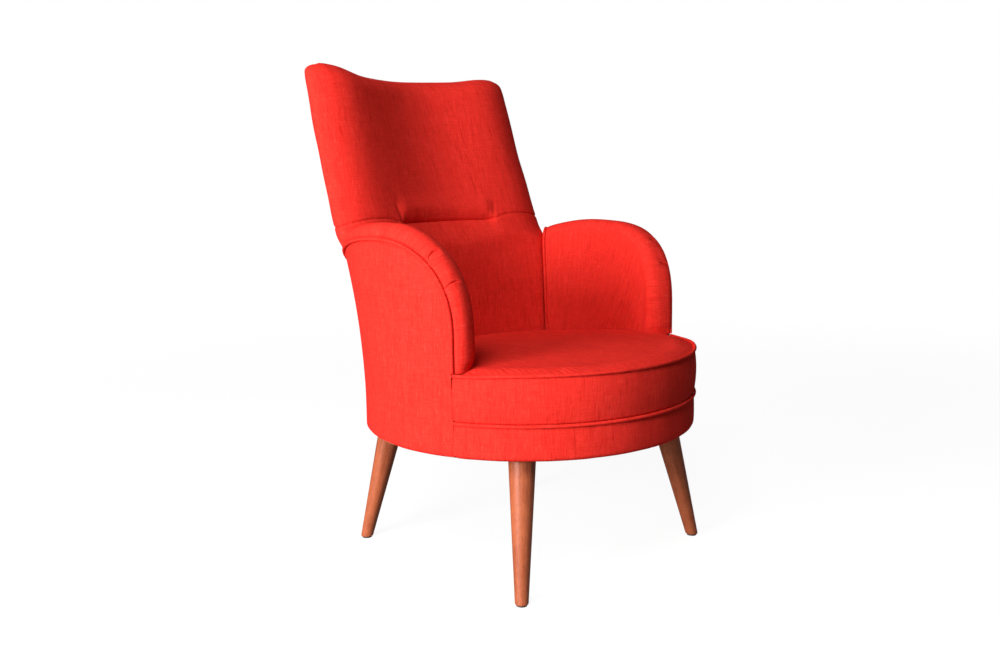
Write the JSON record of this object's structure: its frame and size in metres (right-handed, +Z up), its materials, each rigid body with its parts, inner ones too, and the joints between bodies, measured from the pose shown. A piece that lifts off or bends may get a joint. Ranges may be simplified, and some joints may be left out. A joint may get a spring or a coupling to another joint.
{
  "type": "fireside chair",
  "caption": "Fireside chair with a round drum seat, low curved padded arms, a tall leaning hollow back and splayed, tapered wooden legs.",
  "frame": {"origin": "on the floor, under the middle of the chair's bounding box", "axes": "+Z up, the chair faces -Y, X across the seat, with +X at the sitter's left hand side"},
  "size_m": [0.6836, 0.787, 0.989],
  "materials": {
    "cloth": "coral red slub weave, matt",
    "piping_cloth": "the same slub weave over a cord, matt",
    "leg_wood": "orange-brown oiled hardwood, satin",
    "frame_board": "raw birch ply",
    "foam": "cream foam",
    "jute": "woven jute",
    "steel": "zinc plated",
    "dust_cloth": "black lining cloth",
    "glide_plastic": "dark nylon"
  },
  "bodies": {
    "root": {"leg_front_left": "leg_wood", "leg_front_right": "leg_wood", "leg_rear_left": "leg_wood", "leg_rear_right": "leg_wood", "foot_glides": "glide_plastic", "leg_bolts": "steel", "leg_nuts": "steel", "leg_blocks": "frame_board", "base_ring": "frame_board", "seat_ring": "frame_board", "ring_posts": "frame_board", "frame_screws": "steel", "drum_facing": "frame_board", "drum_foam": "foam", "seat_webbing": "jute", "webbing_staples": "steel", "seat_hessian": "jute", "seat_foam": "foam", "seat_cover": "cloth", "seat_piping": "piping_cloth", "upper_band": "cloth", "band_piping": "piping_cloth", "lower_band": "cloth", "dust_cover": "dust_cloth", "dust_cover_staples": "steel", "arm_board_left": "frame_board", "arm_board_right": "frame_board", "arm_foam_left": "foam", "arm_foam_right": "foam", "arm_cover_left": "cloth", "arm_cover_right": "cloth", "outside_arm_left": "cloth", "outside_arm_right": "cloth", "arm_piping_left": "piping_cloth", "arm_piping_right": "piping_cloth", "back_upright_left": "frame_board", "back_upright_right": "frame_board", "back_top_rail": "frame_board", "back_middle_rail": "frame_board", "back_low_rail": "frame_board", "back_low_board": "frame_board", "back_webbing": "jute", "back_foam_upper": "foam", "back_foam_lower": "foam", "back_cover_upper": "cloth", "back_cover_lower": "cloth", "joint_piping_left": "piping_cloth", "joint_piping_right": "piping_cloth", "outside_back_board": "frame_board", "outside_back_cover": "cloth"}
  },
  "joints": []
}
